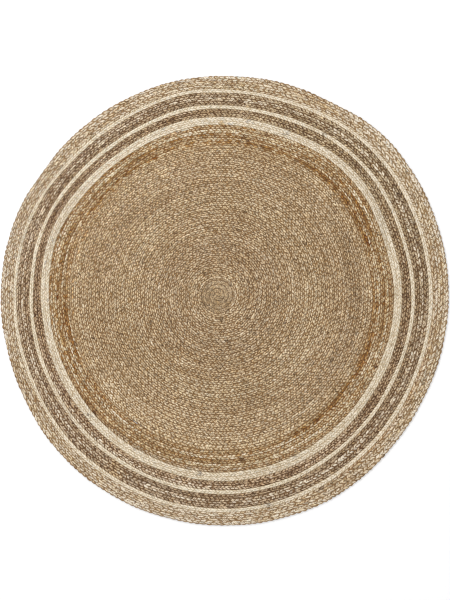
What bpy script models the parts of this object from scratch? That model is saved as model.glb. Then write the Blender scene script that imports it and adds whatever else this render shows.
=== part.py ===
"""Round braided jute rug, 1.5 m across.

Flat braids of jute are coiled on a table, row against row, and sewn edge to edge. The natural middle is
one long spiral of braid, and bands of honey, ivory, taupe and blush braid are sewn round it in turn.
Units are metres, +Z is up, the rug lies on Z = 0, and the middle of its outline is on the Z axis.
"""

from collections import namedtuple
from math import pi, radians

import bmesh
import bpy
import numpy as np

# Driving dimensions of the braid and of the mesh
CREST_HEIGHT = 0.0095  # thickness of the rug along the middle of a row
SEAM_HEIGHT = 0.0058  # thickness where two rows are sewn together
EDGE_HEIGHT = 0.0045  # height at which the outermost row is widest
EDGE_TUCK = 0.003  # how far that row draws in beneath, down to the floor
COIL_START_RADIUS = 0.007  # the folded end of braid that the coil is wound round
BAND_GAP = 0.0003  # between one band and the next
STATIONS = 64  # cross-sections in one turn
WELD_DISTANCE = 0.00001  # joins only points that coincide
SEAM_CREASE = radians(20)  # edges that dip more than this are seams, and shade as creases
WALL_CREASE = radians(70)  # and so do the edges of a band's walls

# Jute colours, linear RGB
NATURAL = (0.37, 0.26, 0.15)
HONEY = (0.36, 0.23, 0.12)
IVORY = (0.66, 0.56, 0.41)
TAUPE = (0.29, 0.20, 0.12)
BLUSH = (0.47, 0.35, 0.23)
ROUGHNESS = 0.85

# The bands from the middle outwards. The rings were sewn by hand, so their centres drift across the rug.
Band = namedtuple("Band", "name rows outer_radius centre_x centre_y colour")
COIL_CENTRE_X = -0.025
COIL_CENTRE_Y = 0.012
BANDS = (
    Band("centre_coil", 37, 0.508, -0.014, 0.009, NATURAL),
    Band("honey_band", 5, 0.578, -0.012, 0.008, HONEY),
    Band("wide_ivory_band", 2, 0.605, -0.012, 0.007, IVORY),
    Band("inner_taupe_band", 2, 0.634, -0.010, 0.005, TAUPE),
    Band("inner_ivory_ring", 1, 0.646, -0.010, 0.005, IVORY),
    Band("outer_taupe_band", 3, 0.691, -0.007, 0.002, TAUPE),
    Band("outer_ivory_ring", 1, 0.703, -0.006, 0.001, IVORY),
    Band("rim_band", 3, 0.749, 0.000, 0.000, BLUSH),
)

# Slow waves that all the rings share, given by their height at the edge of the rug
Wave = namedtuple("Wave", "lobes height bearing")
WAVES = (
    Wave(2, 0.005, radians(57)),
    Wave(3, 0.004, radians(36)),
)

# Where the rows were pulled in or let out, by how far at each of these radii: short of the bands, at the wide
# ivory band, at the inner and at the outer ivory ring, and at the rug's edge
Bulge = namedtuple("Bulge", "bearing spread heights")
BULGE_RADII = (0.40, 0.5915, 0.640, 0.697, 0.749)
BULGES = (
    Bulge(radians(20), radians(13), (0.0, -0.0095, -0.0075, -0.0035, -0.0045)),
    Bulge(radians(45), radians(9), (0.0, 0.0, 0.0, 0.0, 0.0020)),
    Bulge(radians(60), radians(6), (0.0, 0.0, 0.0, 0.0, -0.0050)),
    Bulge(radians(70), radians(14), (0.0, -0.0105, -0.0080, -0.0065, -0.0060)),
    Bulge(radians(88), radians(10), (0.0, -0.0010, -0.0020, -0.0020, -0.0040)),
    Bulge(radians(101), radians(9), (0.0, 0.0, 0.0045, 0.0065, 0.0015)),
    Bulge(radians(128), radians(18), (0.0, -0.0085, -0.0100, -0.0085, 0.0005)),
    Bulge(radians(145), radians(8), (0.0, 0.0, 0.0, 0.0, -0.0060)),
    Bulge(radians(160), radians(11), (0.0, 0.0070, 0.0030, 0.0035, 0.0015)),
    Bulge(radians(226), radians(14), (0.0, 0.0, 0.0015, 0.0070, 0.0045)),
    Bulge(radians(280), radians(38), (0.0, 0.0065, 0.0060, 0.0060, 0.0010)),
    Bulge(radians(298), radians(12), (0.0, 0.0, 0.0, 0.0, 0.0050)),
    Bulge(radians(345), radians(12), (0.0, 0.0035, 0.0, 0.0, 0.0)),
)


def layout(radius, angle):
    """Point on the floor of the place that is `radius` along and `angle` round in an even rug.

    Each ring is a circle about its own drifting centre, plus the shared waves, which grow with the
    radius, plus the bulges, each a bell curve round its bearing.
    """
    ring_radii = [0.0] + [band.outer_radius for band in BANDS]
    centre_x = np.interp(radius, ring_radii, [COIL_CENTRE_X] + [band.centre_x for band in BANDS])
    centre_y = np.interp(radius, ring_radii, [COIL_CENTRE_Y] + [band.centre_y for band in BANDS])
    reach = np.array(radius, dtype=float)
    for wave in WAVES:
        reach += wave.height * np.cos(wave.lobes * (angle - wave.bearing)) * radius / ring_radii[-1]
    for bulge in BULGES:
        turn_away = (angle - bulge.bearing + pi) % (2 * pi) - pi
        reach += np.interp(radius, BULGE_RADII, bulge.heights) * np.exp(-((turn_away / bulge.spread) ** 2))
    return centre_x + reach * np.cos(angle), centre_y + reach * np.sin(angle)


def outline_middle():
    """Middle of the box round the rug's outline, before it is moved to the Z axis."""
    angle = np.linspace(0.0, 2 * pi, STATIONS, endpoint=False)
    x, y = layout(np.full(STATIONS, BANDS[-1].outer_radius), angle)
    return (x.min() + x.max()) / 2, (y.min() + y.max()) / 2


def ribs(row_edges, full_width):
    """Radii and heights over the tops of rows with these edges: low at each seam, high between two seams.

    A row that narrows to an end also sinks to the height of the seam.
    """
    widths = np.diff(row_edges)
    radii = np.empty(2 * len(widths) + 1)
    radii[0::2] = row_edges
    radii[1::2] = row_edges[:-1] + widths / 2
    heights = np.full(len(radii), SEAM_HEIGHT)
    heights[1::2] += (CREST_HEIGHT - SEAM_HEIGHT) * widths / full_width
    return radii, heights


def coil_section(band, turn):
    """Section of the coil after a fraction of a turn, from the top of its middle to the floor below it.

    Over one turn every row moves out by its own width and becomes the next. The first row grows from
    nothing round the folded start, and the last one narrows to nothing against the coil's edge.
    """
    outer = band.outer_radius - BAND_GAP / 2
    width = (outer - COIL_START_RADIUS) / (band.rows - 1)
    row_edges = COIL_START_RADIUS + width * (np.arange(band.rows + 1) - 1 + turn)
    row_edges = np.clip(row_edges, COIL_START_RADIUS, outer)
    radii, heights = ribs(row_edges, width)
    radii = np.concatenate([[0.0], radii, [outer, 0.0]])
    heights = np.concatenate([[CREST_HEIGHT], heights, [0.0, 0.0]])
    return radii, heights


def ring_section(band, inner_radius, tucked):
    """Closed section of a ring of rows, from its inner top edge outwards, round and back."""
    inner = inner_radius + BAND_GAP / 2
    outer = band.outer_radius if tucked else band.outer_radius - BAND_GAP / 2
    row_edges = np.linspace(inner, outer, band.rows + 1)
    radii, heights = ribs(row_edges, row_edges[1] - row_edges[0])
    foot = outer
    if tucked:
        heights[-1] = EDGE_HEIGHT
        foot = outer - EDGE_TUCK
    radii = np.concatenate([radii, [foot, inner, inner]])
    heights = np.concatenate([heights, [0.0, 0.0, heights[0]]])
    return radii, heights


def rolled_sheet(name, sections):
    """Mesh of a flat grid whose every line is laid along one of these sections, one after another round."""
    line_count, point_count = len(sections), len(sections[0][0])
    sheet = bmesh.new()
    bmesh.ops.create_grid(sheet, x_segments=line_count - 1, y_segments=point_count - 1, size=1.0)
    mesh = bpy.data.meshes.new(name)
    sheet.to_mesh(mesh)
    sheet.free()

    flat = np.empty(3 * len(mesh.vertices), dtype=np.float32)
    mesh.vertices.foreach_get("co", flat)
    line = np.rint((flat[0::3] + 1) / 2 * (line_count - 1)).astype(int)
    point = np.rint((flat[1::3] + 1) / 2 * (point_count - 1)).astype(int)
    radii = np.array([section[0] for section in sections])[line, point]
    heights = np.array([section[1] for section in sections])[line, point]
    x, y = layout(radii, 2 * pi * line / (line_count - 1))
    middle_x, middle_y = outline_middle()
    mesh.vertices.foreach_set("co", np.stack([x - middle_x, y - middle_y, heights], axis=1).ravel())
    return mesh


def close_solid(mesh):
    """Welds the sheet where it meets itself, and creases it at the seams and round the walls."""
    solid = bmesh.new()
    solid.from_mesh(mesh)
    bmesh.ops.remove_doubles(solid, verts=solid.verts, dist=WELD_DISTANCE)
    bmesh.ops.recalc_face_normals(solid, faces=solid.faces)
    for face in solid.faces:
        face.smooth = True
    for edge in solid.edges:
        bend = edge.calc_face_angle_signed()
        edge.smooth = -SEAM_CREASE < bend < WALL_CREASE
    solid.to_mesh(mesh)
    solid.free()


def jute(name, colour):
    """Dull plant fibre of one colour."""
    material = bpy.data.materials.new(name)
    material.use_nodes = True
    shader = material.node_tree.nodes["Principled BSDF"]
    shader.inputs["Base Color"].default_value = (*colour, 1.0)
    shader.inputs["Roughness"].default_value = ROUGHNESS
    shader.inputs["Metallic"].default_value = 0.0
    return material


def clear_scene():
    for thing in list(bpy.data.objects):
        bpy.data.objects.remove(thing, do_unlink=True)


def build_rug():
    """One object for each band of braid, all held by one empty."""
    collection = bpy.data.collections.new("round_jute_rug")
    bpy.context.scene.collection.children.link(collection)
    rug = bpy.data.objects.new("rug", None)
    collection.objects.link(rug)

    inner_radius = 0.0
    for band in BANDS:
        if inner_radius == 0.0:
            sections = [coil_section(band, station / STATIONS) for station in range(STATIONS + 1)]
        else:
            section = ring_section(band, inner_radius, tucked=band is BANDS[-1])
            sections = [section] * (STATIONS + 1)
        mesh = rolled_sheet(band.name, sections)
        close_solid(mesh)
        mesh.materials.append(jute(band.name + "_jute", band.colour))
        piece = bpy.data.objects.new(band.name, mesh)
        piece.parent = rug
        collection.objects.link(piece)
        inner_radius = band.outer_radius


clear_scene()
build_rug()
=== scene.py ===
"""Round braided jute rug, 1.5 m across, photographed from straight above on a white studio floor.

Flat three-strand braids are laid row against row and sewn edge to edge. The file follows the rug from its
middle outwards: the natural coil, then the honey, ivory, taupe and blush bands that are sewn round it.
Units are metres, +Z is up, the rug lies on Z = 0, and the middle of its outline is on the Z axis.
"""

from collections import namedtuple
from math import pi, radians, tan

import bpy
import numpy as np
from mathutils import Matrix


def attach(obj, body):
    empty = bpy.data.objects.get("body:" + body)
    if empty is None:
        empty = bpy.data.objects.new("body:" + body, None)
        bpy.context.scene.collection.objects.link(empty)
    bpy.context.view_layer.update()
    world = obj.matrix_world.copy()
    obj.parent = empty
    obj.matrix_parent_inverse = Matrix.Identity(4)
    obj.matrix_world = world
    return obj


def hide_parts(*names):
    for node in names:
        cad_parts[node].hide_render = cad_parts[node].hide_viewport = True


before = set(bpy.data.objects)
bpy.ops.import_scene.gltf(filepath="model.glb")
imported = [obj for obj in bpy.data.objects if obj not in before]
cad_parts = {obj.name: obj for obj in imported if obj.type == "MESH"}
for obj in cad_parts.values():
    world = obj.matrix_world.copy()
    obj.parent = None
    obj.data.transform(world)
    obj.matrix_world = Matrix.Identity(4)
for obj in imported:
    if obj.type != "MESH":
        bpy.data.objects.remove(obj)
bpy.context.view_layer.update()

# ---- Camera, floor and light ----------------------------------------------------------------------------
# The rug is photographed face on from a stand, so the camera looks straight down through a long lens.
# The floor is a white studio sweep, lit by a white dome and one wide soft box, so that shadows stay faint.

PICTURE_HEIGHT = 600  # pixels, along the long side of the sensor
PIXEL = 0.003338  # metres of rug in one pixel
LENS = 85.0
SENSOR = 36.0
RUG_FACE = 0.0095  # height of the tops of the braids
MIDDLE_RIGHT, MIDDLE_DOWN = -0.1, 1.0  # pixels from the picture's middle to the rug's middle

camera = bpy.data.objects.new("camera", bpy.data.cameras.new("camera"))
camera.data.lens = LENS
camera.data.sensor_width = SENSOR
camera_height = PICTURE_HEIGHT * PIXEL * LENS / SENSOR + RUG_FACE
camera.location = (-MIDDLE_RIGHT * PIXEL, MIDDLE_DOWN * PIXEL, camera_height)
bpy.context.scene.collection.objects.link(camera)
bpy.context.scene.camera = camera

FLOOR_REACH = 30.0
FLOOR_WHITE = (0.92, 0.92, 0.92, 1.0)
FLOOR_ROUGHNESS = 0.9
floor_mesh = bpy.data.meshes.new("studio_floor")
floor_mesh.from_pydata(
    [(x * FLOOR_REACH, y * FLOOR_REACH, 0.0) for x, y in ((-1, -1), (1, -1), (1, 1), (-1, 1))],
    [],
    [(0, 1, 2, 3)],
)
floor = bpy.data.objects.new("studio_floor", floor_mesh)
bpy.context.scene.collection.objects.link(floor)
floor_paint = bpy.data.materials.new("studio_white")
floor_paint.use_nodes = True
floor_shader = floor_paint.node_tree.nodes["Principled BSDF"]
floor_shader.inputs["Base Color"].default_value = FLOOR_WHITE
floor_shader.inputs["Roughness"].default_value = FLOOR_ROUGHNESS
floor_mesh.materials.append(floor_paint)

DOME_STRENGTH = 0.95
dome = bpy.data.worlds.new("studio_dome")
dome.use_nodes = True
dome.node_tree.nodes["Background"].inputs["Color"].default_value = (1.0, 1.0, 1.0, 1.0)
dome.node_tree.nodes["Background"].inputs["Strength"].default_value = DOME_STRENGTH
bpy.context.scene.world = dome

SOFT_BOX_SIDE = 1.6
SOFT_BOX_PLACE = (-2.2, 2.2, 3.2)
SOFT_BOX_WATTS = 70.0
soft_box = bpy.data.objects.new("soft_box", bpy.data.lights.new("soft_box", "AREA"))
soft_box.data.size = SOFT_BOX_SIDE
soft_box.data.energy = SOFT_BOX_WATTS
soft_box.location = SOFT_BOX_PLACE
soft_box.rotation_euler = (-soft_box.location).to_track_quat("-Z", "Y").to_euler()
bpy.context.scene.collection.objects.link(soft_box)

PICTURE_BLEND = 1.0  # pixels over which the picture blends what it sees
bpy.context.scene.view_settings.view_transform = "Standard"
bpy.context.scene.cycles.filter_width = PICTURE_BLEND

# ---- Centre coil ----------------------------------------------------------------------------------------
# One long three-strand braid of natural jute, wound into a spiral from a folded end and sewn edge to edge.
# Braid comes in lengths, so the coil is three lengths that meet end to end, 37 turns in all.

# Outer radius of each band in an even rug, and the drift of that ring's centre, as the bands were laid
Ring = namedtuple("Ring", "outer_radius centre_x centre_y")
COIL_CENTRE = Ring(0.0, -0.025, 0.012)
COIL_EDGE = Ring(0.508, -0.014, 0.009)
HONEY_EDGE = Ring(0.578, -0.012, 0.008)
WIDE_IVORY_EDGE = Ring(0.605, -0.012, 0.007)
INNER_TAUPE_EDGE = Ring(0.634, -0.010, 0.005)
INNER_IVORY_EDGE = Ring(0.646, -0.010, 0.005)
OUTER_TAUPE_EDGE = Ring(0.691, -0.007, 0.002)
OUTER_IVORY_EDGE = Ring(0.703, -0.006, 0.001)
RIM_EDGE = Ring(0.749, 0.000, 0.000)
RINGS = (
    COIL_CENTRE, COIL_EDGE, HONEY_EDGE, WIDE_IVORY_EDGE, INNER_TAUPE_EDGE,
    INNER_IVORY_EDGE, OUTER_TAUPE_EDGE, OUTER_IVORY_EDGE, RIM_EDGE,
)

# Slow waves of all the rings, by their height at the edge of the rug
Wave = namedtuple("Wave", "lobes height bearing")
WAVES = (Wave(2, 0.005, radians(57)), Wave(3, 0.004, radians(36)))

# Where the rows were pulled in or let out, by how far at each of these radii: short of the bands, at the wide
# ivory band, at the inner and at the outer ivory ring, and at the rug's edge
Bulge = namedtuple("Bulge", "bearing spread heights")
BULGE_RADII = (0.40, 0.5915, 0.640, 0.697, 0.749)
BULGES = (
    Bulge(radians(20), radians(13), (0.0, -0.0095, -0.0075, -0.0035, -0.0045)),
    Bulge(radians(45), radians(9), (0.0, 0.0, 0.0, 0.0, 0.0020)),
    Bulge(radians(60), radians(6), (0.0, 0.0, 0.0, 0.0, -0.0050)),
    Bulge(radians(70), radians(14), (0.0, -0.0105, -0.0080, -0.0065, -0.0060)),
    Bulge(radians(88), radians(10), (0.0, -0.0010, -0.0020, -0.0020, -0.0040)),
    Bulge(radians(101), radians(9), (0.0, 0.0, 0.0045, 0.0065, 0.0015)),
    Bulge(radians(128), radians(18), (0.0, -0.0085, -0.0100, -0.0085, 0.0005)),
    Bulge(radians(145), radians(8), (0.0, 0.0, 0.0, 0.0, -0.0060)),
    Bulge(radians(160), radians(11), (0.0, 0.0070, 0.0030, 0.0035, 0.0015)),
    Bulge(radians(226), radians(14), (0.0, 0.0, 0.0015, 0.0070, 0.0045)),
    Bulge(radians(280), radians(38), (0.0, 0.0065, 0.0060, 0.0060, 0.0010)),
    Bulge(radians(298), radians(12), (0.0, 0.0, 0.0, 0.0, 0.0050)),
    Bulge(radians(345), radians(12), (0.0, 0.0035, 0.0, 0.0, 0.0)),
)

# The hand of the sewer: small wanderings of the rows, by waves round the rug and radians for each metre out
Wander = namedtuple("Wander", "lobes height twist start")
WANDERS = (
    Wander(5, 0.0007, 40.0, 1.3),
    Wander(11, 0.0006, -95.0, 0.4),
    Wander(23, 0.0004, 160.0, 2.1),
)
WANDER_FROM = 0.10  # nearer the middle than this the rows are tight and hardly wander


def even_layout(radius, angle):
    """Place of the point that is `radius` out and `angle` round in an even rug, before it is centred.

    Each ring is a circle about its own drifting centre, plus the shared waves, which grow with the
    radius, plus the bulges, each a bell curve round its bearing.
    """
    ring_radii = [ring.outer_radius for ring in RINGS]
    centre_x = np.interp(radius, ring_radii, [ring.centre_x for ring in RINGS])
    centre_y = np.interp(radius, ring_radii, [ring.centre_y for ring in RINGS])
    reach = np.array(radius, dtype=float)
    for wave in WAVES:
        reach += wave.height * np.cos(wave.lobes * (angle - wave.bearing)) * radius / RIM_EDGE.outer_radius
    for bulge in BULGES:
        turn_away = (angle - bulge.bearing + pi) % (2 * pi) - pi
        reach += np.interp(radius, BULGE_RADII, bulge.heights) * np.exp(-((turn_away / bulge.spread) ** 2))
    return centre_x + reach * np.cos(angle), centre_y + reach * np.sin(angle)


OUTLINE_PLACES = 64  # round the edge, at which the box round the outline is measured
outline_angle = np.linspace(0.0, 2 * pi, OUTLINE_PLACES, endpoint=False)
outline_x, outline_y = even_layout(np.full(OUTLINE_PLACES, RIM_EDGE.outer_radius), outline_angle)
MIDDLE_X = (outline_x.min() + outline_x.max()) / 2
MIDDLE_Y = (outline_y.min() + outline_y.max()) / 2


def layout(radius, angle):
    """Place on the floor of a point of an even rug, with the rows' small wanderings, about the rug's middle.

    Each wandering moves a point out by its height times the sine of lobes times angle plus twist times
    radius, so rows that lie side by side wander together.
    """
    hand = sum(w.height * np.sin(w.lobes * angle + w.twist * radius + w.start) for w in WANDERS)
    x, y = even_layout(radius + hand * np.clip(radius / WANDER_FROM, 0.0, 1.0), angle)
    return x - MIDDLE_X, y - MIDDLE_Y


# A braid, flat, by one stitch of it, which is `steps` cells long. Across its width it has an inner and an
# outer column of strands, which meet at the fold and slant away from it. Heights are at the crests, between
# the strands (valley) and at the seams. Its edges lap over the rows beside it, and each stitch bulges
# further, as a scallop. A loose braid opens gaps between its strands, a tight one hardly does (0 to 1).
# Each strand is two plies with a groove between them, whose depth is a share of the strand's rise.
Braid = namedtuple("Braid", "stitch steps fold slant crest valley seam lap scallop loose groove")
GROOVE_WIDTH = 0.09  # stitches
CELLS_IN, CELLS_OUT = 3, 4  # cells across the inner and the outer column
UNDER_LINES = np.array([0.24, 0.76])  # lines along the underside, which is flat between them
TUCK = 0.05  # how far past the fold a strand dives, as a share of the width


def across_lines(braid):
    """Shares of the row's width at which its lines run: even steps to the fold, and even steps after it."""
    inner = np.linspace(0.0, braid.fold, CELLS_IN + 1)
    outer = np.linspace(braid.fold, 1.0, CELLS_OUT + 1)
    return np.concatenate([inner, outer[1:]])


# How each strand departs from the even one: its place along the row and across it, its thickness, its length
Strands = namedtuple("Strands", "place shift plump length")
UNEVEN_PLACE = 0.10  # of a stitch
UNEVEN_SHIFT = 0.035  # of the row's width
USUAL_PLUMP, UNEVEN_PLUMP = 0.96, 0.11
THINNEST, THICKEST = 0.55, 1.15
USUAL_LENGTH, UNEVEN_LENGTH = 0.86, 0.13


def uneven_strands(rng, count):
    """The departures of a row's strands, as bell-shaped random draws."""
    place, shift, plump, length = rng.normal(size=(4, count))
    plump = np.clip(USUAL_PLUMP + UNEVEN_PLUMP * plump, THINNEST, THICKEST)
    length = USUAL_LENGTH + UNEVEN_LENGTH * length
    return Strands(UNEVEN_PLACE * place, UNEVEN_SHIFT * shift, plump, length)


LENGTH_POWER = 2.2  # how suddenly a strand dives at its ends
WIDTH_SHARE = 1.95  # stitches over a strand's width


def strand_rise(braid, side, across, phase, plump, length):
    """How high, from 0 to 1, a strand of the inner (0) or outer (1) column stands at this place.

    Along the strand it is 1 less a power of the distance from its middle, in half lengths. Across it, it is
    1 less looseness times the square of the distance from its crest, in half widths. A plump strand is wider
    and higher. The groove between its plies is a bell curve round the crest.
    """
    low, high = ((0.0, braid.fold + TUCK), (braid.fold - TUCK, 1.0))[side]
    along = np.abs(across - (low + high) / 2) / ((high - low) / 2 * length)
    lengthwise = np.clip(1 - along**LENGTH_POWER, 0.0, 1.0)
    widthwise = 1 - braid.loose * np.clip(WIDTH_SHARE * phase / plump, -1.0, 1.0) ** 2
    return plump * lengthwise * widthwise * (1 - braid.groove * np.exp(-((phase / GROOVE_WIDTH) ** 2)))


def row_rise(braid, even, across, strands):
    """Rise of the higher strand at each place, and that strand's number.

    `even` is the distance along the row in stitches. Strand 2k is in the inner column with its crest at k,
    and strand 2k+1 in the outer one with its crest at k and a half.
    """
    rises, numbers = [], []
    for side in (0, 1):
        number = 2 * np.rint(even - side / 2).astype(int) + side
        own = number % len(strands.plump)
        phase = even - number / 2 + strands.place[own]
        across_own = across + strands.shift[own]
        rises.append(strand_rise(braid, side, across_own, phase, strands.plump[own], strands.length[own]))
        numbers.append(np.broadcast_to(number, rises[-1].shape))
    return np.maximum(*rises), np.where(rises[1] > rises[0], numbers[1], numbers[0])


SPARE_KNOTS = 3  # so that a random run reaches past its end


def uneven(rng, count, spacing):
    """Smooth random run of `count` numbers, of spread about 1, that changes over `spacing` of them."""
    knots = rng.normal(size=int(count / spacing) + SPARE_KNOTS)
    return np.interp(np.arange(count) / spacing, np.arange(len(knots)), knots)


# The colour of a yarn in sRGB steps of 0 to 255, and how much it varies: from stitch to stitch, the share of
# that which stays with each of the three strands, from batch to batch, and in warmth. A streak is the tint of
# the long stretches by which one column of stitches stands out from the next.
Yarn = namedtuple("Yarn", "red green blue spread persist batch warmth streak")
STREAK_STITCHES = 9.0  # over which a streak changes
BATCH_WIDTH, BATCH_SECTORS = 0.02, 16  # metres out and parts of a turn over which a batch of jute changes
BATCH_RINGS, BATCH_SEED = 40, 11
BATCHES = np.random.default_rng(BATCH_SEED).normal(size=(BATCH_RINGS, BATCH_SECTORS))


def batch_tone(radius, angle):
    """Random lightness that rows side by side share: even steps of radius and angle, blended in between."""
    out, turned = radius / BATCH_WIDTH, angle / (2 * pi) * BATCH_SECTORS
    ring, sector = np.floor(out).astype(int), np.floor(turned).astype(int)
    u, v = out - ring, turned - sector
    here, on = sector % BATCH_SECTORS, (sector + 1) % BATCH_SECTORS
    near = BATCHES[ring, here] * (1 - v) + BATCHES[ring, on] * v
    far = BATCHES[ring + 1, here] * (1 - v) + BATCHES[ring + 1, on] * v
    return near * (1 - u) + far * u


# Where the dye took otherwise: from which row to which of the band, counted from its inner edge, at what
# bearing and how far round in degrees, on what share of the stitches, and its tint in sRGB steps
Dye = namedtuple("Dye", "first last bearing spread share red green blue")
ROUND = 9999.0  # the spread of what goes right round
DYE_EDGE = 0.3  # of a row: softness across the rows


def dye_tint(dyes, rows_out, angle, rng):
    """Tint of each stitch. A dye weighs a bell curve round its bearing, times a soft window across the rows.

    Where its share is below 1, it takes the stitches at random, with that share times the weight as chance.
    """
    tint = np.zeros((len(angle), 3))
    for dye in dyes:
        away = (angle - radians(dye.bearing) + pi) % (2 * pi) - pi
        weight = np.exp(-((away / radians(dye.spread)) ** 2))
        weight = weight * np.clip((rows_out - dye.first) / DYE_EDGE + 0.5, 0.0, 1.0)
        weight = weight * np.clip((dye.last - rows_out) / DYE_EDGE + 0.5, 0.0, 1.0)
        if dye.share < 1.0:
            weight = (rng.random(len(angle)) < dye.share * weight).astype(float)
        tint += weight[:, None] * np.array([dye.red, dye.green, dye.blue])
    return tint


PALER = np.array([0.92, 1.0, 1.12])  # paler jute is greyer too
WARMER = np.array([0.5, 0.0, -0.8])
KEPT_STITCHES = 26  # over which a strand's own lightness changes
INNER_MIDDLE, OUTER_MIDDLE = 0.25, 0.75  # of the two columns, as shares of the row's width


def linear_light(codes):
    """Linear light of sRGB codes from 0 to 1: a straight foot, and above it a power of 2.4."""
    return np.where(codes <= 0.04045, codes / 12.92, ((codes + 0.055) / 1.055) ** 2.4)


def stitch_colours(row, yarn, dyes, rng):
    """Linear colour of every strand of the row.

    In a three-strand braid the stitches of both columns belong to strands 0, 2, 1, 0, 2, 1, so each strand
    comes back after three. A strand keeps its own slowly changing lightness, and each stitch differs more.
    """
    count = 2 * row.stitches
    number = np.arange(count)
    kept = np.stack([uneven(rng, count, KEPT_STITCHES) for _ in range(3)])[2 * number % 3, number]
    light = yarn.spread * (yarn.persist * kept + np.sqrt(1 - yarn.persist**2) * rng.normal(size=count))
    streak = np.stack([uneven(rng, row.stitches, STREAK_STITCHES) for _ in range(2)])[number % 2, number // 2]
    warm = yarn.warmth * rng.normal(size=count)
    angle, inner, outer = row.edges(number / 2)
    radius = inner + (outer - inner) * np.where(number % 2, OUTER_MIDDLE, INNER_MIDDLE)
    light += yarn.batch * batch_tone(radius, angle)
    codes = np.array([yarn.red, yarn.green, yarn.blue]) + light[:, None] * PALER + warm[:, None] * WARMER
    codes = codes + streak[:, None] * np.array(yarn.streak)
    rows_out = (radius - row.band_edge) / row.width
    return linear_light(np.clip(codes + dye_tint(dyes, rows_out, angle, rng), 0.0, 255.0) / 255.0)


# One row of braid: `edges` takes stitches along it and gives the angle, the inner and the outer radius there
Row = namedtuple("Row", "braid stitches closed width band_edge edges seed")
# Faces of a row, by corner: point, stitches along, share of the width and share of the girth; and by strand
Faces = namedtuple("Faces", "points even across girth strand")
END_STITCHES = 10.0  # over these, at the end of a length of braid, the V of its lines opens flat
# No hand plaits evenly, so the stitches run ahead and fall behind in waves: stitches to a wave, and how far
PACES = ((47.0, 0.45), (19.0, 0.22), (8.3, 0.09))
CALM_RADIUS, CALM_SHARE = 0.06, 0.55  # nearer the middle than this the tight rows have shallower gaps
RAGGED = 0.0005  # metres by which the bulge of each stitch at a row's edges differs from the next
SCALLOP_FALL, SCALLOP_DIP = 2.5, -0.4  # how fast a scallop falls off beside its stitch, and how far at most
ARCH_POWER = 2.6  # how squarely a row rises from its seams
LEAST_FULLNESS = 0.2  # of a row that narrows to its end
# Painted shade: the seams between rows and the underside are darkened in colour, the more the lower these
# shares
SEAM_SHADE_OPENNESS, UNDER_SHADE_OPENNESS = 0.35, 0.8  # how open to the light the seams and the underside are, from 0 to 1
TOP_GIRTH, OUTER_GIRTH, INNER_GIRTH = 0.60, 0.74, 0.86  # where the top, outer cheek and flat underside end
END_DROP = 1.05  # stitches by which the cut end of a braid reaches past its last line in the maps


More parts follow.
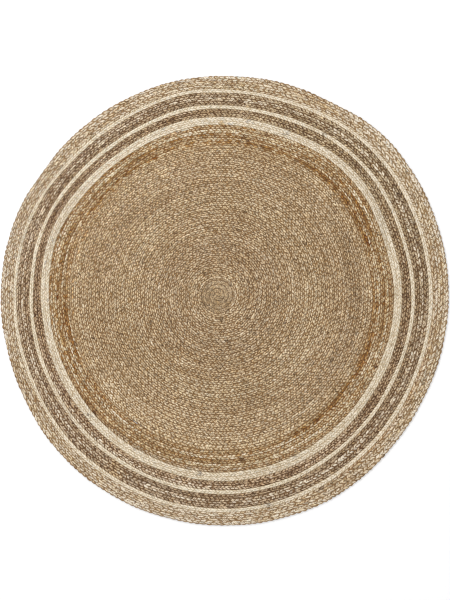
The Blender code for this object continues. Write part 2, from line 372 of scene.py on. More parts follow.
def row_body(row, yarn, dyes, first_point):
    """Points, openness to painted shade, faces and colours of one row of braid, a closed body.

    The top is a grid whose cross lines are folded into a V, so that each runs along a strand: a point lies
    at `even` plus the lean times its distance from the fold. Its height is the valley plus the strand's
    rise, under an arch that comes down at the seams. The underside has one station for each stitch.
    """
    braid, stitches, steps = row.braid, row.stitches, row.braid.steps
    rng = np.random.default_rng(row.seed)
    across = across_lines(braid)
    lines = len(across)
    cells = stitches * steps
    stations = cells if row.closed else cells + 1
    under_stations = stitches if row.closed else stitches + 1
    strands = uneven_strands(rng, 2 * stitches)
    lean = row.width / (braid.stitch * tan(braid.slant))

    def place(even, share, out=0.0):
        """Floor position at a distance along the row and a share of its width, and the row's fullness."""
        square = 1.0 if row.closed else np.clip(np.minimum(even, stitches - even) / END_STITCHES, 0.0, 1.0)
        along = even + lean * square * np.abs(share - braid.fold)
        pace = sum(
            far * np.sin(2 * pi * round(stitches / wave) * along / stitches) for wave, far in PACES
        )
        angle, inner, outer = row.edges(along + pace)
        x, y = layout(inner + (outer - inner) * share + out, angle)
        return x, y, np.clip((outer - inner) / row.width, LEAST_FULLNESS, 1.0)

    even = np.arange(stations)[:, None] / steps
    rise, _ = row_rise(braid, even, across, strands)
    rise = 1 - (1 - rise) * np.clip(row.edges(even)[1] / CALM_RADIUS, CALM_SHARE, 1.0)
    bulge = np.zeros_like(rise)
    for line, side, outward in ((0, 0, -1), (-1, 1, 1)):
        stitch = np.rint(even[:, 0] - side / 2).astype(int)
        phase = even[:, 0] - side / 2 - stitch
        scallop = braid.scallop + RAGGED * strands.shift[(2 * stitch + side) % (2 * stitches)] / UNEVEN_SHIFT
        swell = np.clip(1 - (SCALLOP_FALL * phase) ** 2, SCALLOP_DIP, 1.0)
        bulge[:, line] = outward * (braid.lap + scallop * swell)
    x, y, fullness = place(even, across, bulge)
    arch = (1 - np.abs(2 * across - 1) ** ARCH_POWER) * np.sqrt(fullness)
    floor_height = braid.seam + (braid.valley - braid.seam) * arch
    height = floor_height + (braid.crest - braid.valley) * arch * rise
    under_x, under_y, _ = place(np.arange(under_stations)[:, None], UNDER_LINES)
    top = np.stack([x, y, height], axis=-1).reshape(-1, 3)
    under = np.stack([under_x, under_y, np.zeros_like(under_x)], axis=-1).reshape(-1, 3)
    # Painted shade: a point's openness is 1 on a strand's crest and falls where strands dive, between strands
    # and at the seams
    top_shade_openness = rise * np.minimum(1.0, SEAM_SHADE_OPENNESS + arch)
    shade_openness = np.concatenate([top_shade_openness.ravel(), np.full(len(under), UNDER_SHADE_OPENNESS)])

    def top_id(station, line):
        return first_point + (station % stations) * lines + line

    def under_id(station, line):
        return first_point + len(top) + (station % under_stations) * 2 + line

    station = np.repeat(np.arange(cells), lines - 1)[:, None] + np.array([0, 0, 1, 1])
    line = np.tile(np.arange(lines - 1), cells)[:, None] + np.array([0, 1, 1, 0])
    _, strand = row_rise(braid, station.mean(axis=1) / steps, across[line].mean(axis=1), strands)
    faces = [Faces(top_id(station, line), station / steps, across[line], TOP_GIRTH * across[line], strand)]

    k = np.arange(stitches)[:, None]
    one = np.ones_like(k)
    near, far = UNDER_LINES
    faces.append(Faces(
        np.hstack([under_id(k, 0), under_id(k + 1, 0), under_id(k + 1, 1), under_id(k, 1)]),
        np.hstack([k, k + 1, k + 1, k]), one * [near, near, far, far],
        one * [INNER_GIRTH, INNER_GIRTH, OUTER_GIRTH, OUTER_GIRTH], 2 * k[:, 0],
    ))
    step = np.arange(steps + 1)
    for edge, order, share, girth, low_line, low_girth in (
        (lines - 1, step[::-1], 1.0, TOP_GIRTH, 1, OUTER_GIRTH),
        (0, step, 0.0, 1.0, 0, INNER_GIRTH),
    ):
        low = np.array([0, 1]) if edge else np.array([1, 0])
        faces.append(Faces(
            np.hstack([top_id(k * steps + order, edge), under_id(k + low, low_line)]),
            np.hstack([k + order / steps, k + low]),
            one * ([share] * (steps + 1) + [UNDER_LINES[low_line]] * 2),
            one * ([girth] * (steps + 1) + [low_girth] * 2), 2 * k[:, 0] + low_line,
        ))
    if not row.closed:
        for at, order, outward in ((0, -1, -1.0), (cells, 1, 1.0)):
            rim = np.arange(lines)[::order]
            shares = np.concatenate([across[::order], UNDER_LINES[::-order]])
            drop = END_DROP - np.concatenate([height[at, rim], [0.0, 0.0]]) / braid.crest
            under_ids = under_id(at // steps, np.array([0, 1])[::-order])
            ids = np.concatenate([top_id(np.full(lines, at), rim), under_ids])
            faces.append(Faces(
                ids[None], (at / steps + outward * drop)[None], shares[None],
                TOP_GIRTH * shares[None], np.array([max(0, 2 * at // steps - 1)]),
            ))
    return np.concatenate([top, under]), shade_openness, faces, stitch_colours(row, yarn, dyes, rng)


MILLIMETRES = 1000  # in a metre
FIBRE_DRIFT, COLUMN_DRIFT = 400, 20  # millimetres by which the fibres of stitches and columns are set apart
DRIFT_SEED = 50  # on top of the row's own
STRIP_WIDTH = 0.036  # metres of girth in one strip, with its margin
STRIP_MARGIN, STRIP_INSET = 0.02, 0.03  # kept clear at the ends and along the sides of a strip
LEAST_STRIP = 12  # cells
SHARP_ANGLE = radians(75)  # edges that bend more than this aren't smoothed over


def braid_rows(name, rows, yarn, dyes):
    """Mesh of several rows of braid, with each face's colour, each point's openness to painted shade and two
    maps.

    The map "strand" gives millimetres along and across each face's own strand, for the fibres. In the map
    "OFBake" the rows are cut into equal lengths, which lie side by side as strips: along a strip runs the
    length of the row, and across it the girth.
    """
    points, shade_openness_all, corners, sizes, colours, strand_map, bake_map = [], [], [], [], [], [], []
    cells = sum(row.stitches * row.braid.steps for row in rows)
    cell = rows[0].braid.stitch / rows[0].braid.steps
    strip_cells = max(LEAST_STRIP, int(np.sqrt(cells * STRIP_WIDTH / cell)))
    strip_stitches = -(-strip_cells // rows[0].braid.steps)
    strip_count = sum(-(-row.stitches // strip_stitches) for row in rows)
    first_point = first_strip = 0
    for row in rows:
        row_points, shade_openness, faces, colour = row_body(row, yarn, dyes, first_point)
        drift_rng = np.random.default_rng(row.seed + DRIFT_SEED)
        drift = drift_rng.uniform(0, FIBRE_DRIFT, size=2 * row.stitches)
        braid = row.braid
        slope = abs(np.sin(braid.slant))
        last_strip = (row.stitches - 1) // strip_stitches
        for part in faces:
            strand = part.strand[:, None]
            fibre_along = np.abs(part.across - braid.fold) * row.width / slope * MILLIMETRES
            fibre_along = fibre_along + drift[strand % len(drift)]
            fibre_across = (part.even - strand / 2) * braid.stitch * slope * MILLIMETRES
            fibre_across = fibre_across + COLUMN_DRIFT * (strand % 2)
            strand_map.append(np.stack([fibre_along, fibre_across], -1).reshape(-1, 2))
            strip = np.floor(part.even.mean(axis=1) / strip_stitches)
            strip = np.clip(strip, 0, last_strip)[:, None]
            u = STRIP_MARGIN + (1 - 2 * STRIP_MARGIN) * (part.even / strip_stitches - strip)
            v = first_strip + strip + STRIP_INSET + (1 - 2 * STRIP_INSET) * part.girth
            v = v / strip_count
            bake_map.append(np.stack([u, v], -1).reshape(-1, 2))
            corners.append(part.points.ravel())
            sizes.append(np.full(len(part.points), part.points.shape[1]))
            colours.append(colour[part.strand % len(colour)])
        points.append(row_points)
        shade_openness_all.append(shade_openness)
        first_point += len(row_points)
        first_strip += -(-row.stitches // strip_stitches)

    points, corners, sizes = np.concatenate(points), np.concatenate(corners), np.concatenate(sizes)
    mesh = bpy.data.meshes.new(name)
    mesh.vertices.add(len(points))
    mesh.vertices.foreach_set("co", points.astype(np.float32).ravel())
    mesh.loops.add(len(corners))
    mesh.loops.foreach_set("vertex_index", corners.astype(np.int32))
    mesh.polygons.add(len(sizes))
    mesh.polygons.foreach_set("loop_start", (np.cumsum(sizes) - sizes).astype(np.int32))
    mesh.update(calc_edges=True)
    mesh.shade_smooth()
    mesh.set_sharp_from_angle(angle=SHARP_ANGLE)
    opaque = np.ones((len(sizes), 1))
    colours = np.concatenate([np.concatenate(colours), opaque], axis=1).astype(np.float32)
    mesh.attributes.new("yarn", "FLOAT_COLOR", "FACE").data.foreach_set("color", colours.ravel())
    # Each point's openness to the shade that the material paints into the colour
    shade_openness_all = np.concatenate(shade_openness_all).astype(np.float32)
    mesh.attributes.new("shade_openness", "FLOAT", "POINT").data.foreach_set("value", shade_openness_all)
    for layer, uv in (("strand", strand_map), ("OFBake", bake_map)):
        mesh.uv_layers.new(name=layer, do_init=False)
        mesh.uv_layers[layer].uv.foreach_set("vector", np.concatenate(uv).astype(np.float32).ravel())
    return mesh


PALEST = (0.83, 0.73, 0.58)  # linear: no strand is paler than this, however it was bleached
PLY_NOISE, FIBRE_NOISE = (0.10, 0.38), (0.15, 1.8)  # to a millimetre, along and across the strand
# Painted shade: below this openness the colour is darkened as if in the shade of the gaps
UNSHADED_FROM = 0.85  # from this depth value up, a strand is clear of the shade of the gaps
FIBRE_ROUGHNESS = 0.12  # by which the fibres change the roughness, either way
FIBRE_RELIEF = 0.0005  # metres


def jute(name, painted_gap_shade, ply_depth, fibre_depth, roughness, sheen):
    """Bundled plant fibre: each stitch's colour, with shade painted into the gaps, and plies and fibres along
    its strand.

    The plies are noise about 2.6 mm wide across the strand and 10 mm long, and the fibres are finer noise,
    which also roughens the surface and raises it by half a millimetre. The stitch's colour times both is
    never paler than the palest jute.
    """
    material = bpy.data.materials.new(name)
    material.use_nodes = True
    nodes, links = material.node_tree.nodes, material.node_tree.links
    shader = nodes["Principled BSDF"]
    shader.inputs["Specular IOR Level"].default_value = 0.3
    shader.inputs["Sheen Weight"].default_value = sheen
    shader.inputs["Sheen Roughness"].default_value = 0.5

    strand = nodes.new("ShaderNodeUVMap")
    strand.uv_map = "strand"
    yarn = nodes.new("ShaderNodeAttribute")
    yarn.attribute_name = "yarn"
    shade_openness = nodes.new("ShaderNodeAttribute")
    shade_openness.attribute_name = "shade_openness"

    def streaks(per_mm, detail, contrast):
        """Noise stretched along the strand, and the factor from 1 - contrast to 1 + contrast made of it."""
        stretch = nodes.new("ShaderNodeMapping")
        stretch.inputs["Scale"].default_value = (*per_mm, 1.0)
        links.new(strand.outputs["UV"], stretch.inputs["Vector"])
        noise = nodes.new("ShaderNodeTexNoise")
        noise.inputs["Scale"].default_value = 1.0
        noise.inputs["Detail"].default_value = detail
        noise.inputs["Roughness"].default_value = 0.6
        links.new(stretch.outputs["Vector"], noise.inputs["Vector"])
        factor = nodes.new("ShaderNodeMapRange")
        factor.inputs["From Min"].default_value = 0.3
        factor.inputs["From Max"].default_value = 0.7
        factor.inputs["To Min"].default_value = 1.0 - contrast
        factor.inputs["To Max"].default_value = 1.0 + contrast
        links.new(noise.outputs["Fac"], factor.inputs["Value"])
        return noise.outputs["Fac"], factor.outputs["Result"]

    _, ply = streaks(PLY_NOISE, detail=1.0, contrast=ply_depth)
    fibres, fibre = streaks(FIBRE_NOISE, detail=3.0, contrast=fibre_depth)
    streak = nodes.new("ShaderNodeMath")
    streak.operation = "MULTIPLY"
    links.new(ply, streak.inputs[0])
    links.new(fibre, streak.inputs[1])
    streaked = nodes.new("ShaderNodeVectorMath")
    streaked.operation = "SCALE"
    links.new(yarn.outputs["Color"], streaked.inputs[0])
    links.new(streak.outputs["Value"], streaked.inputs["Scale"])
    limited = nodes.new("ShaderNodeVectorMath")
    limited.operation = "MINIMUM"
    limited.inputs[1].default_value = PALEST
    links.new(streaked.outputs["Vector"], limited.inputs[0])

    # Painted shade: the colour is multiplied towards the gap tint where a point lies low in the gaps, at the
    # seams and underneath
    # The vector inputs of this node are 6 for the value, 7 and 8 for its range, 9 and 10 for the result's
    gap_painted_shade = nodes.new("ShaderNodeMapRange")
    gap_painted_shade.data_type = "FLOAT_VECTOR"
    gap_painted_shade.interpolation_type = "SMOOTHSTEP"
    gap_painted_shade.inputs[7].default_value = (0.0, 0.0, 0.0)
    gap_painted_shade.inputs[8].default_value = (UNSHADED_FROM, UNSHADED_FROM, UNSHADED_FROM)
    gap_painted_shade.inputs[9].default_value = painted_gap_shade
    gap_painted_shade.inputs[10].default_value = (1.0, 1.0, 1.0)
    links.new(shade_openness.outputs["Fac"], gap_painted_shade.inputs[6])
    shaded = nodes.new("ShaderNodeVectorMath")
    shaded.operation = "MULTIPLY"
    links.new(limited.outputs["Vector"], shaded.inputs[0])
    links.new(gap_painted_shade.outputs[1], shaded.inputs[1])
    links.new(shaded.outputs["Vector"], shader.inputs["Base Color"])

    rough = nodes.new("ShaderNodeMapRange")
    rough.inputs["To Min"].default_value = roughness + FIBRE_ROUGHNESS
    rough.inputs["To Max"].default_value = roughness - FIBRE_ROUGHNESS
    links.new(fibres, rough.inputs["Value"])
    links.new(rough.outputs["Result"], shader.inputs["Roughness"])

    relief = nodes.new("ShaderNodeBump")
    relief.inputs["Strength"].default_value = 0.5
    relief.inputs["Distance"].default_value = FIBRE_RELIEF
    links.new(fibres, relief.inputs["Height"])
    links.new(relief.outputs["Normal"], shader.inputs["Normal"])
    return material


def add_piece(name, mesh, material, node):
    """Puts the piece in the scene with its material, on the root body, and hides the part from model.glb that
    it replaces.
    """
    piece = bpy.data.objects.new(name, mesh)
    bpy.context.scene.collection.objects.link(piece)
    mesh.materials.append(material)
    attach(piece, "root")
    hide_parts(node)


RING_GAP = 0.00015  # between bands, either side
COIL_TURNS = 36.5  # rows from the middle to the edge
COIL_OUTER = COIL_EDGE.outer_radius - RING_GAP
COIL_ROW = COIL_OUTER / COIL_TURNS
COIL_CUTS = (0.0, 21.9, 30.7, 37.15)  # turns at which the lengths of braid start and end
COIL_SEED = 100
END_SPREAD = 0.02  # turns over which the row beside the spiral's end spreads out
NATURAL_BRAID = Braid(stitch=0.0134, steps=6, fold=0.47, slant=radians(50), crest=0.0095, valley=0.0060,
                      seam=0.0053, lap=0.0003, scallop=0.0006, loose=1.0, groove=0.20)
NATURAL_YARN = Yarn(red=194.0, green=171.0, blue=138.0, spread=6.0, persist=0.15, batch=5.0, warmth=2.0,
                    streak=(5.0, 6.0, 7.0))
NATURAL_DYES = (
    Dye(0, 4.2, 0, ROUND, 1.0, -23, -23, -22),
    Dye(2.0, 24.0, 0, ROUND, 1.0, -3, -3, -3),
    Dye(2.5, 5.5, 45, 50, 1.0, 3, 3, 3),
    Dye(2.0, 4.5, 195, 32, 1.0, -14, -14, -13),
    Dye(7.0, 15.0, 0, ROUND, 1.0, -5, -5, -4),
    Dye(9.0, 17.0, 295, 45, 1.0, -6, -6, -6),
    Dye(20.5, 25.5, 0, ROUND, 1.0, 3, 4, 4),
    Dye(26.0, 28.0, 0, ROUND, 1.0, -3, -3, -3),
    Dye(30.0, 34.0, 15, 30, 1.0, -8, -8, -8),
    Dye(32.5, 34.5, 120, 25, 1.0, 10, 10, 10),
    Dye(34.5, 37.5, 0, ROUND, 1.0, 6, 6, 5),
    Dye(30.0, 37.5, 240, 45, 1.0, 7, 7, 7),
    Dye(30.0, 37.5, 335, 32, 1.0, -8, -8, -7),
    # A rusty strand near the honey band
    Dye(35.6, 36.0, 158, 20, 0.8, -6, -18, -30),
    # Loose pale and dark stitches
    Dye(2.0, 37.5, 0, ROUND, 0.012, 34, 35, 36),
    Dye(2.0, 37.5, 0, ROUND, 0.008, -45, -45, -42),
    # Pale stitches round the middle
    Dye(4.5, 5.5, 60, 75, 0.30, 22, 26, 28),
)


def coil_length(turns):
    """Length of the spiral's first turns along its middle line.

    Over the first turn, where the folded end widens from a point, it is pi/2 times the row width times the
    turns squared. From there it is pi times the row width times the square of half a turn less, plus a
    constant.
    """
    return pi * COIL_ROW * np.where(turns < 1, turns**2 / 2, (turns - 0.5) ** 2 + 0.25)


def coil_edges(from_turn):
    """For a length of the spiral that starts after `from_turn` turns: angle and edges at a stitch."""

    def edges(stitches):
        length = (coil_length(from_turn) + stitches * NATURAL_BRAID.stitch) / (pi * COIL_ROW)
        turns = np.where(length < 0.5, np.sqrt(2 * length), 0.5 + np.sqrt(np.maximum(length - 0.25, 0.0)))
        outer = COIL_ROW * turns
        # The row beside the spiral's tapered end spreads out over what the end leaves
        spread = np.clip((turns - COIL_CUTS[-1] + 1) / END_SPREAD, 0.0, 1.0)
        outer = np.minimum(outer + (COIL_OUTER - outer) * spread, COIL_OUTER)
        return 2 * pi * turns + pi, COIL_ROW * np.maximum(turns - 1, 0.0), outer

    return edges


# The gap tint is the shade painted into the gaps between the strands, at the seams and underneath
natural_jute = jute("natural_jute", painted_gap_shade=(0.38, 0.28, 0.17), ply_depth=0.60, fibre_depth=0.25,
                    roughness=0.72, sheen=0.15)
for number, (first, last) in enumerate(zip(COIL_CUTS[:-1], COIL_CUTS[1:])):
    run = float(coil_length(last) - coil_length(first))
    stitches = int(np.ceil(run / NATURAL_BRAID.stitch))
    row = Row(NATURAL_BRAID, stitches, closed=False, width=COIL_ROW, band_edge=0.0,
              edges=coil_edges(first), seed=COIL_SEED + number)
    name = f"coil_length_{number + 1}"
    mesh = braid_rows(name, [row], NATURAL_YARN, NATURAL_DYES)
    add_piece(name, mesh, natural_jute, "centre_coil")

# ---- Honey band -----------------------------------------------------------------------------------------
# Five rings of braid in jute dyed honey with amber strands, laid round the coil and sewn edge to edge.
# Each ring is one length of braid whose ends are butted and sewn.

START_TURN = 2.4  # radians by which each ring starts further round than the one before


def ring_rows(inner_radius, outer_radius, count, braid, seed):
    """Closed rings of braid of equal width. A stitch number is an angle: a whole turn is all the stitches."""
    rows = []
    width = (outer_radius - inner_radius) / count
    for number in range(count):
        near = inner_radius + number * width
        stitches = int(round(2 * pi * (near + width / 2) / braid.stitch))

        def edges(at, near=near, stitches=stitches, start=START_TURN * (seed + number)):
            inner, outer = np.full(np.shape(at), near), np.full(np.shape(at), near + width)
            return 2 * pi * at / stitches + start, inner, outer

        rows.append(Row(braid, stitches, closed=True, width=width, band_edge=inner_radius,
                        edges=edges, seed=seed + number))
    return rows


def add_band(name, node, inner_ring, outer_ring, count, braid, seed, yarn, dyes, material):
    """Adds a band of rings between two edges of the rug."""
    near, far = inner_ring.outer_radius, outer_ring.outer_radius
    rows = ring_rows(near + RING_GAP, far - RING_GAP * (outer_ring is not RIM_EDGE), count, braid, seed)
    mesh = braid_rows(name, rows, yarn, dyes)
    add_piece(name, mesh, material, node)


HONEY_BRAID = NATURAL_BRAID._replace(stitch=0.0145, seam=0.0047)
HONEY_YARN = Yarn(red=187.0, green=165.0, blue=132.0, spread=9.0, persist=0.3, batch=4.0, warmth=3.0,
                  streak=(10.0, 14.0, 18.0))
HONEY_DYES = (
    # Darker and lighter rows in turn
    Dye(0, 1, 0, ROUND, 1.0, 0, -1, -4),
    Dye(1, 2, 0, ROUND, 1.0, 6, 7, 6),
    Dye(2, 3, 0, ROUND, 1.0, -3, -4, -7),
    Dye(3, 4, 0, ROUND, 1.0, 9, 11, 9),
    Dye(4, 5, 0, ROUND, 1.0, -2, -2, -3),
    Dye(0, 1, 105, 20, 1.0, 14, 14, 13),
    Dye(0, 1, 45, 28, 1.0, -9, -11, -14),
    Dye(0, 1, 300, 30, 1.0, -12, -13, -15),
    Dye(0, 1, 220, 22, 1.0, 13, 13, 13),
    Dye(2, 3, 30, 30, 1.0, -6, -9, -13),
    Dye(3, 4, 200, 50, 1.0, 5, 6, 7),
    Dye(4, 5, 45, 60, 1.0, 8, 7, 5),
    Dye(4, 5, 255, 40, 1.0, -11, -12, -11),
    Dye(0, 1, 170, 10, 1.0, 20, 20, 20),
    Dye(3, 4, 226, 14, 1.0, 16, 17, 19),
    # Amber strands on both sides of a seam, or on one
    Dye(0.6, 1.4, 55, 33, 0.8, -30, -45, -62),
    Dye(0.6, 1.4, 125, 23, 0.8, -30, -45, -62),
    Dye(0.6, 1.4, 325, 26, 0.8, -30, -45, -62),
    Dye(0.6, 1.4, 193, 13, 0.8, -30, -45, -62),
    Dye(2.6, 3.0, 26, 26, 0.8, -32, -47, -64),
    Dye(2.6, 3.0, 135, 42, 0.8, -32, -47, -64),
    Dye(2.6, 3.4, 193, 13, 0.8, -30, -45, -62),
    Dye(4.6, 5.0, 135, 42, 0.8, -30, -45, -60),
    # Dark amber clumps
    Dye(2.6, 3.4, 347, 3.5, 1.0, -30, -38, -45),
    Dye(4.6, 5.0, 30, 1.6, 1.0, -45, -52, -56),
    Dye(4.6, 5.0, 89, 1.6, 1.0, -45, -52, -56),
    Dye(4.6, 5.0, 215, 4.5, 1.0, -25, -32, -40),
    Dye(2, 3, 276.2, 0.8, 1.0, -45, -45, -42),
    # Specks of dark stem
    Dye(0, 5, 0, ROUND, 0.006, -60, -64, -60),
    # Pale flecks in the rows between
    Dye(1, 2, 0, ROUND, 0.12, 24, 27, 30),
    Dye(3, 4, 0, ROUND, 0.14, 24, 27, 30),
)
# The gap tint is the shade painted into the gaps between the strands, at the seams and underneath
honey_jute = jute("honey_jute", painted_gap_shade=(0.40, 0.26, 0.13), ply_depth=0.58, fibre_depth=0.25,
                  roughness=0.72, sheen=0.15)
add_band("honey_rows", "honey_band", COIL_EDGE, HONEY_EDGE, count=5, braid=HONEY_BRAID, seed=200,
         yarn=HONEY_YARN, dyes=HONEY_DYES, material=honey_jute)

# ---- Wide ivory band ------------------------------------------------------------------------------------
# Two rings of bleached jute. The bleached braid is tighter and smoother than the natural one, with hardly
# any shade between its strands, and it presses over the darker rows beside it.

IVORY_BRAID = Braid(stitch=0.0112, steps=6, fold=0.5, slant=radians(-40), crest=0.0092, valley=0.0072,
                    seam=0.0064, lap=0.0008, scallop=0.0003, loose=0.9, groove=0.25)
IVORY_YARN = Yarn(red=226.0, green=214.0, blue=192.0, spread=5.0, persist=0.3, batch=2.0, warmth=2.0,
                  streak=(3.0, 3.0, 3.0))
WIDE_IVORY_DYES = (
    Dye(0, 2, 130, 70, 1.0, 0, 2, 7),
    Dye(0, 1, 75, 40, 1.0, 5, 6, 7),
    Dye(0, 1, 240, 15, 1.0, 8, 9, 12),
    Dye(0, 1, 165, 15, 1.0, -12, -13, -15),
    Dye(1, 2, 105, 30, 1.0, 8, 9, 10),
    Dye(1, 2, 200, 18, 1.0, -7, -8, -8),
    Dye(1, 2, 283, 14, 1.0, -10, -12, -13),
    Dye(0, 2, 28, 9, 1.0, -13, -13, -12),
    # Honey strands that show through, and dark ends at the joins
    Dye(0, 1, 90.4, 0.9, 1.0, -35, -52, -75),
    Dye(0.6, 1.4, 69, 0.6, 1.0, -62, -58, -50),
    Dye(0.6, 1.4, 222, 0.6, 1.0, -62, -58, -50),
    Dye(0, 1, 263.3, 0.6, 1.0, -62, -60, -52),
    # Grey specks
    Dye(0, 2, 0, ROUND, 0.012, -34, -32, -26),
)
# The gap tint is the shade painted into the gaps between the strands, at the seams and underneath
ivory_jute = jute("ivory_jute", painted_gap_shade=(0.56, 0.48, 0.37), ply_depth=0.30, fibre_depth=0.14,
                  roughness=0.70, sheen=0.1)
add_band("wide_ivory_rows", "wide_ivory_band", HONEY_EDGE, WIDE_IVORY_EDGE, count=2, braid=IVORY_BRAID,
         seed=300, yarn=IVORY_YARN, dyes=WIDE_IVORY_DYES, material=ivory_jute)

# ---- Inner taupe band -----------------------------------------------------------------------------------
# Two rings of jute dyed taupe, with undyed cream strands that show as flecks.
# They are sewn between the ivory rows.

INNER_TAUPE_BRAID = NATURAL_BRAID._replace(stitch=0.0128, seam=0.0047, groove=0.25)
TAUPE_YARN = Yarn(red=185.0, green=163.0, blue=134.0, spread=9.0, persist=0.3, batch=5.0, warmth=2.5,
                  streak=(7.0, 8.0, 9.0))
INNER_TAUPE_DYES = (
    Dye(0, 1, 0, ROUND, 1.0, -1, -4, -6),
    Dye(0, 1, 135, 20, 1.0, 10, 11, 13),
    Dye(0, 1, 185, 22, 1.0, -10, -11, -11),
    Dye(0, 1, 345, 22, 1.0, -8, -8, -8),
    Dye(1, 2, 0, ROUND, 1.0, -7, -11, -13),
    # A natural braid with cream strands takes over from the taupe one
    Dye(1, 2, 228, 22, 1.0, 26, 30, 33),
    Dye(1, 2, 250, 25, 0.5, 34, 38, 40),
    Dye(1, 2, 263, 16, 1.0, 16, 17, 18),
    # Specks of dark stem
    Dye(0, 2, 0, ROUND, 0.012, -45, -48, -45),
    # Olive jute on the right
    Dye(0, 2, 50, 55, 1.0, -4, -1, -5),
    # Dark patches, and a lighter seam
    Dye(1, 2, 11, 2, 1.0, -20, -22, -22),
    Dye(0, 2, 18.5, 2.5, 1.0, -18, -20, -20),
    Dye(0.6, 2, 45, 5, 1.0, -14, -15, -15),
    Dye(0, 2, 105.5, 2, 1.0, -20, -22, -22),
    Dye(0, 1, 143, 2.5, 1.0, -20, -21, -20),
    Dye(0.6, 2, 154, 4, 1.0, -18, -19, -18),
    Dye(0, 2, 291, 3, 1.0, -16, -18, -18),
    Dye(0, 2, 324, 4, 1.0, -16, -17, -17),
    Dye(0.6, 1.4, 130, 4, 1.0, 18, 20, 22),
)
# The gap tint is the shade painted into the gaps between the strands, at the seams and underneath
taupe_jute = jute("taupe_jute", painted_gap_shade=(0.24, 0.155, 0.08), ply_depth=0.55, fibre_depth=0.25,
                  roughness=0.72, sheen=0.15)
add_band("inner_taupe_rows", "inner_taupe_band", WIDE_IVORY_EDGE, INNER_TAUPE_EDGE, count=2,
         braid=INNER_TAUPE_BRAID, seed=400, yarn=TAUPE_YARN, dyes=INNER_TAUPE_DYES, material=taupe_jute)

# ---- Inner ivory ring -----------------------------------------------------------------------------------
# One ring of the bleached braid, sewn between the two taupe bands.
# Its ends are joined with a lapped knot at the upper right.

INNER_IVORY_DYES = (
    Dye(0, 1, 0, ROUND, 1.0, 6, 7, 8),
    Dye(0, 1, 120, 45, 1.0, 2, 5, 9),
    Dye(0, 1, 318, 18, 1.0, 12, 11, 11),
    Dye(0, 1, 215, 14, 1.0, -14, -17, -17),
    Dye(0, 1, 287, 4, 1.0, -10, -12, -16),
    # The lapped knot
    Dye(0, 1, 58, 0.6, 1.0, -72, -74, -72),
)
add_band("inner_ivory_row", "inner_ivory_ring", INNER_TAUPE_EDGE, INNER_IVORY_EDGE, count=1,
         braid=IVORY_BRAID, seed=500, yarn=IVORY_YARN, dyes=INNER_IVORY_DYES, material=ivory_jute)

# ---- Outer taupe band -----------------------------------------------------------------------------------
# Three rings of a looser taupe braid, with cream strands in its middle row.
# Their ends are joined one beside the other at the lower left.

OUTER_TAUPE_BRAID = NATURAL_BRAID._replace(stitch=0.0151, groove=0.45)
OUTER_TAUPE_DYES = (
    Dye(0, 1, 0, ROUND, 1.0, -4, -5, -6),
    Dye(0, 1, 253, 14, 1.0, -14, -14, -13),
    Dye(0, 3, 45, 50, 1.0, -4, -2, -5),
    # Cream strands in the middle row
    Dye(1, 2, 0, ROUND, 0.4, 34, 37, 39),
    Dye(1, 2, 300, 30, 0.6, 38, 40, 42),
    Dye(1, 2, 0, ROUND, 1.0, 8, 9, 10),
    Dye(1, 2, 215, 30, 0.2, 30, 32, 34),
    Dye(1, 2, 140, 18, 0.35, 30, 32, 34),
    Dye(1, 2, 12, 22, 0.2, 30, 32, 34),
    # Tan ends at the joins, dark spots and specks of dark stem
    Dye(0, 3, 0, ROUND, 0.010, -45, -48, -45),
    Dye(0, 3, 238, 2.5, 1.0, 14, 10, 2),
    Dye(0.6, 2.4, 117, 1.2, 1.0, -26, -28, -27),
    Dye(1.6, 3, 133, 1.2, 1.0, -26, -28, -27),
    Dye(0.6, 2.4, 143, 1.2, 1.0, -26, -28, -27),
    Dye(2, 3, 30, 8, 1.0, -20, -21, -20),
    Dye(2, 3, 8, 14, 1.0, -14, -15, -16),
    Dye(2, 3, 75, 14, 1.0, 12, 11, 9),
    Dye(2, 3, 132, 18, 1.0, 8, 8, 9),
    Dye(2, 3, 315, 14, 1.0, -12, -13, -14),
)
add_band("outer_taupe_rows", "outer_taupe_band", INNER_IVORY_EDGE, OUTER_TAUPE_EDGE, count=3,
         braid=OUTER_TAUPE_BRAID, seed=600, yarn=TAUPE_YARN, dyes=OUTER_TAUPE_DYES, material=taupe_jute)

# ---- Outer ivory ring -----------------------------------------------------------------------------------
# One ring of the bleached braid between the taupe and the rim.
# Its ends are butted at the bottom.

OUTER_IVORY_DYES = (
    Dye(0, 1, 0, ROUND, 1.0, 10, 11, 14),
    Dye(0, 1, 120, 35, 1.0, 0, 3, 8),
    Dye(0, 1, 160, 14, 1.0, -12, -12, -12),
    Dye(0, 1, 315, 15, 1.0, 8, 8, 9),
    # The butted ends
    Dye(0, 1, 282.2, 0.6, 1.0, -62, -62, -58),
)
add_band("outer_ivory_row", "outer_ivory_ring", OUTER_TAUPE_EDGE, OUTER_IVORY_EDGE, count=1,
         braid=IVORY_BRAID, seed=700, yarn=IVORY_YARN, dyes=OUTER_IVORY_DYES, material=ivory_jute)

# ---- Rim ------------------------------------------------------------------------------------------------
# Three rings of a thick, loose braid in blush jute close the rug, with pale strands in the outermost row.
# The outermost ring's edge is free and rounds down to the floor.

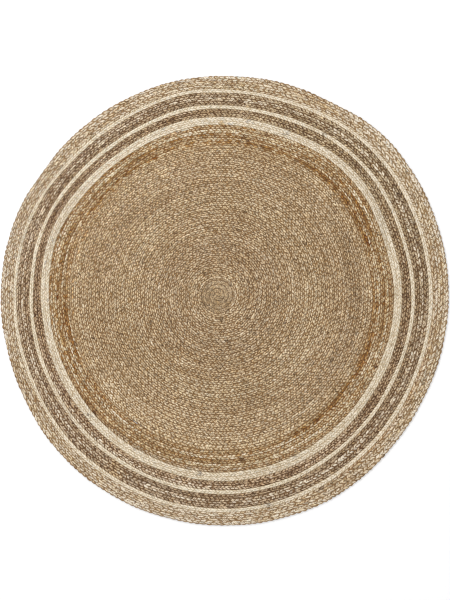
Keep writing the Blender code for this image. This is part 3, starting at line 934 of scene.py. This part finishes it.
BLUSH_BRAID = Braid(stitch=0.0185, steps=8, fold=0.42, slant=radians(43), crest=0.0095, valley=0.0060,
                    seam=0.0047, lap=0.0003, scallop=0.0018, loose=1.0, groove=0.50)
BLUSH_YARN = Yarn(red=220.0, green=201.0, blue=172.0, spread=12.0, persist=0.3, batch=5.0, warmth=4.0,
                  streak=(6.0, 8.0, 9.0))
RIM_DYES = (
    Dye(0, 1, 45, 14, 1.0, 11, 12, 12),
    Dye(0, 2, 262, 25, 1.0, 10, 11, 13),
    Dye(0, 1, 335, 28, 1.0, -8, -14, -17),
    Dye(0, 3, 160, 40, 1.0, -3, -1, 2),
    Dye(1, 2, 30, 25, 1.0, 6, 6, 5),
    # Pale strands in the outermost row
    Dye(2, 3, 0, ROUND, 0.22, 20, 25, 30),
    Dye(2, 3, 16, 14, 0.6, 30, 35, 40),
    Dye(2, 3, 40, 16, 0.75, 28, 33, 38),
    Dye(2, 3, 270, 8, 1.0, 14, 16, 20),
    Dye(2, 3, 88, 4, 0.7, 30, 35, 40),
    Dye(2, 3, 258, 22, 0.65, 30, 37, 46),
    Dye(2, 3, 352, 12, 0.5, 24, 28, 32),
    Dye(2, 3, 95, 14, 1.0, 8, 9, 10),
    Dye(2, 3, 160, 45, 1.0, -5, -4, -2),
    # Darker jute, and dark ends at the joins
    Dye(0, 2, 88, 9, 1.0, -14, -15, -18),
    Dye(0, 3, 307, 9, 1.0, -12, -13, -14),
    Dye(0.6, 1.4, 88, 1.0, 1.0, -40, -42, -40),
    Dye(1.6, 3, 102, 0.8, 1.0, -45, -46, -44),
    Dye(0, 3, 291, 0.8, 1.0, -36, -38, -38),
    Dye(0, 1, 296, 0.8, 1.0, -50, -52, -50),
)
# The gap tint is the shade painted into the gaps between the strands, at the seams and underneath
blush_jute = jute("blush_jute", painted_gap_shade=(0.36, 0.26, 0.16), ply_depth=0.62, fibre_depth=0.25,
                  roughness=0.72, sheen=0.15)
add_band("rim_rows", "rim_band", OUTER_IVORY_EDGE, RIM_EDGE, count=3, braid=BLUSH_BRAID, seed=800,
         yarn=BLUSH_YARN, dyes=RIM_DYES, material=blush_jute)
